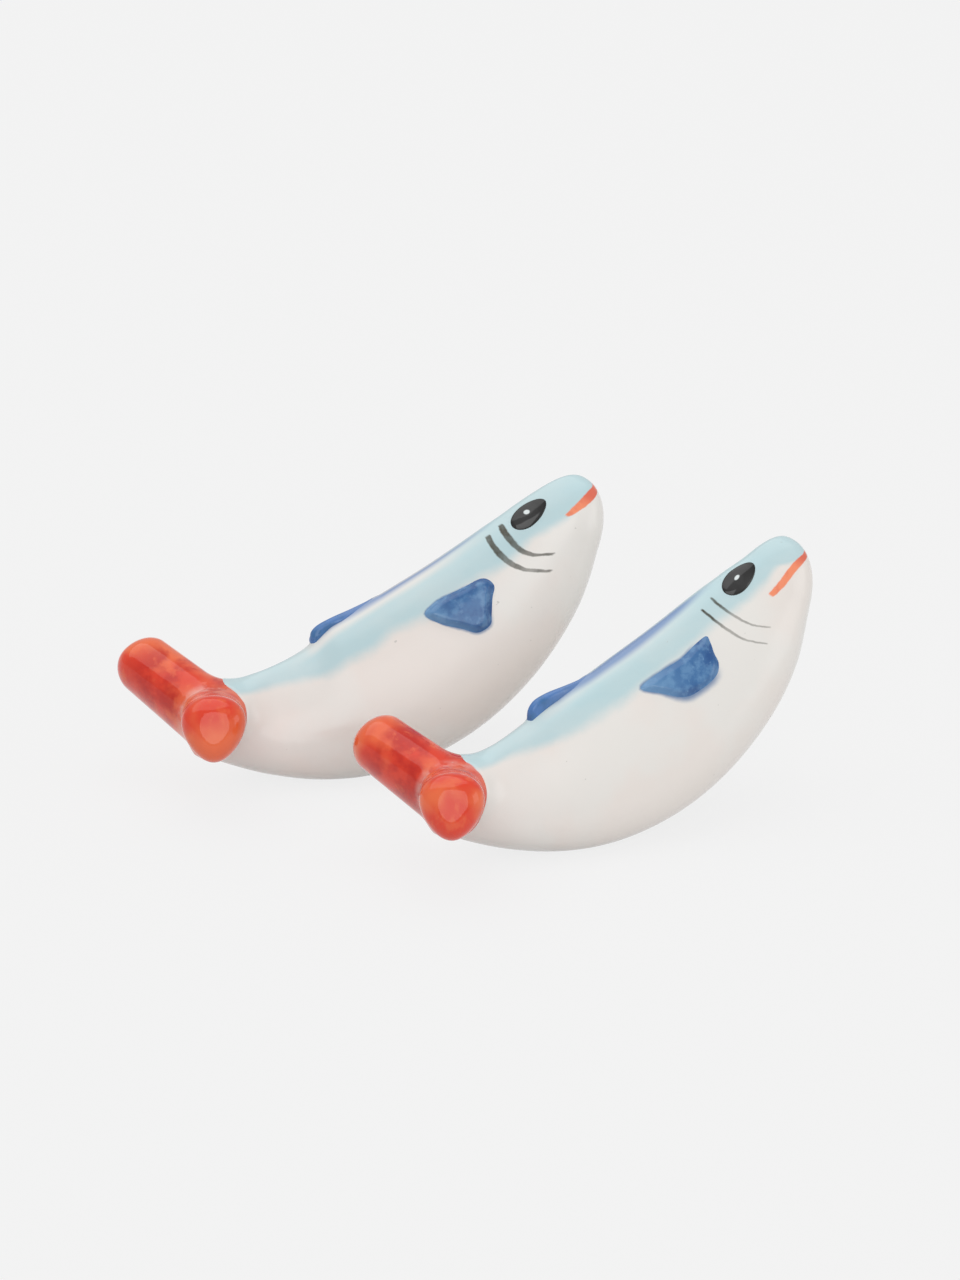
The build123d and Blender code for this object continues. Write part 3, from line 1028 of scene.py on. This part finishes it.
def lobe_paint():
    paint = Paint("brushed_red_glaze")
    crease = paint.step(paint.measure("lobe_gap"), *LOBE_CREASE_GAP)
    pale = paint.times(crease, paint.blotches(TAIL_CREASES))
    return paint.glaze(red_paint(paint, pale), LOBE_ROUGHNESS)


def fin_paint():
    paint = Paint("brushed_blue_glaze")
    colour = paint.mix(paint.blotches(FIN_CLOUDS), FIN_BLUE, FIN_DEEP)
    colour = paint.mix(paint.blotches(FIN_POOLS), colour, FIN_PALE)
    thin = paint.times(paint.step(paint.measure("forward"), *FIN_THINS), FIN_THIN_STRENGTH)
    colour = paint.mix(thin, colour, FIN_PALE)
    colour = paint.mix(paint.blotches(FIN_SPECKS), colour, FIN_PALE)
    return paint.glaze(colour, FIN_ROUGHNESS)


def dorsal_paint():
    paint = Paint("brushed_dorsal_glaze")
    colour = paint.mix(paint.blotches(DORSAL_CLOUDS), DORSAL_BLUE, FIN_BLUE)
    thin = paint.times(paint.step(paint.measure("forward"), *DORSAL_THINS), DORSAL_THIN_STRENGTH)
    colour = paint.mix(thin, colour, STRIPE_BLUE)
    return paint.glaze(colour, DORSAL_ROUGHNESS)


def eye_paint(rest):
    """Black eye, deeper at its rim, with a painted highlight: a white catchlight, the reflection of a lamp
    on the eye's dome.
    """
    middle_forward, middle_down, half_long, half_short = RESTS[rest]["catchlight"]
    tilt = RESTS[rest]["eye_tilt"]
    paint = Paint(rest + "_painted_eye")
    colour = paint.mix(paint.blotches(EYE_CLOUDS), EYE_BLACK, EYE_DEEP)
    rim = paint.times(paint.step(paint.measure("outwards"), *EYE_RIM), EYE_RIM_STRENGTH)
    colour = paint.mix(rim, colour, EYE_DEEP)
    forward = paint.less(paint.measure("forward"), middle_forward)
    down = paint.less(paint.measure("down"), middle_down)
    over = paint.plus(paint.times(forward, math.cos(tilt)), paint.times(down, math.sin(tilt)))
    under = paint.less(paint.times(down, math.cos(tilt)), paint.times(forward, math.sin(tilt)))
    over = paint.sum("DIVIDE", over, half_long)
    under = paint.sum("DIVIDE", under, half_short)
    far = paint.plus(paint.times(over, over), paint.times(under, under))
    # Painted highlight: the catchlight, a white reflection of a lamp on the dome
    colour = paint.mix(paint.step(far, *CATCHLIGHT_EDGE), colour, EYE_HIGHLIGHT_WHITE)
    return paint.glaze(colour, EYE_ROUGHNESS)


# The two rests

def build_rests():
    red, blue, dorsal = lobe_paint(), fin_paint(), dorsal_paint()
    for rest, facts in RESTS.items():
        fin_outline = smooth_outline(facts["pectoral"], PECTORAL_AROUND)
        eye = eye_paint(rest)
        make_piece(rest, "body", body_shape(rest, fin_outline), body_paint(rest))
        make_piece(rest, "dorsal_fin", dorsal_shape(rest), dorsal)
        for name, side in (("left", 1), ("right", -1)):
            make_piece(rest, "tail_lobe_" + name, lobe_shape(rest, side), red)
            make_piece(rest, "pectoral_fin_" + name, fin_shape(rest, side, fin_outline), blue)
            make_piece(rest, "eye_" + name, eye_shape(rest, side), eye)


# Studio

def softbox(name, place, width, height, radiance):
    """Area lamp of an even brightness, facing the rests."""
    lamp = bpy.data.lights.new(name, "AREA")
    lamp.shape = "RECTANGLE"
    lamp.size = width
    lamp.size_y = height
    lamp.energy = radiance * math.pi * width * height
    obj = bpy.data.objects.new(name, lamp)
    bpy.context.scene.collection.objects.link(obj)
    obj.location = place
    obj.rotation_euler = (Vector(LAMP_TARGET) - Vector(place)).to_track_quat("-Z", "Y").to_euler()


def paper():
    """Matt paper that glows to the camera and in reflections, so that it is seen even and bright."""
    paint = Paint("studio_paper")
    paint.shader.inputs["Base Color"].default_value = BACKGROUND
    paint.shader.inputs["Roughness"].default_value = PAPER_ROUGHNESS
    paint.shader.inputs["Specular IOR Level"].default_value = 0.0
    light = paint.add("ShaderNodeLightPath").outputs
    mirrored = paint.sum("MAXIMUM", light["Is Glossy Ray"], light["Is Transmission Ray"])
    seen = paint.sum("MAXIMUM", light["Is Camera Ray"], mirrored)
    glow = paint.add("ShaderNodeEmission", {"Color": BACKGROUND_SEEN}).outputs[0]
    inputs = {0: paint.times(seen, PAPER_GLOW), 1: paint.shader.outputs[0], 2: glow}
    blend = paint.add("ShaderNodeMixShader", inputs).outputs[0]
    paint.feed(paint.tree.nodes["Material Output"].inputs["Surface"], blend)
    return paint.material


def studio():
    for name, lamp in SOFTBOXES.items():
        softbox(name, *lamp)
    world = bpy.data.worlds.new("studio_world")
    bpy.context.scene.world = world
    world.use_nodes = True
    sky = world.node_tree.nodes["Background"]
    sky.inputs["Color"].default_value = (1.0, 1.0, 1.0, 1.0)
    sky.inputs["Strength"].default_value = SKY_STRENGTH

    mesh = bpy.data.meshes.new("studio_floor")
    sides = ((-1, -1), (1, -1), (1, 1), (-1, 1))
    corners = [(x * FLOOR_REACH, y * FLOOR_REACH, FLOOR_LEVEL) for x, y in sides]
    mesh.from_pydata(corners, [], [(0, 1, 2, 3)])
    mesh.materials.append(paper())
    floor = bpy.data.objects.new("studio_floor", mesh)
    bpy.context.scene.collection.objects.link(floor)


def camera():
    data = bpy.data.cameras.new("photo_camera")
    data.sensor_width = SENSOR_MM
    data.lens = CAMERA_FOCAL_PIXELS * SENSOR_MM / FRAME_HEIGHT_PIXELS
    data.clip_end = CAMERA_REACH * MM
    obj = bpy.data.objects.new("photo_camera", data)
    bpy.context.scene.collection.objects.link(obj)
    level = math.cos(CAMERA_ELEVATION)
    back = (-math.sin(CAMERA_TURN) * level, -math.cos(CAMERA_TURN) * level, math.sin(CAMERA_ELEVATION))
    way = Vector(back)
    obj.location = Vector(CAMERA_TARGET) * MM + way * CAMERA_DISTANCE * MM
    obj.rotation_euler = (-way).to_track_quat("-Z", "Y").to_euler()
    bpy.context.scene.camera = obj


build_rests()
studio()
camera()
bpy.context.scene.view_settings.view_transform = "Standard"
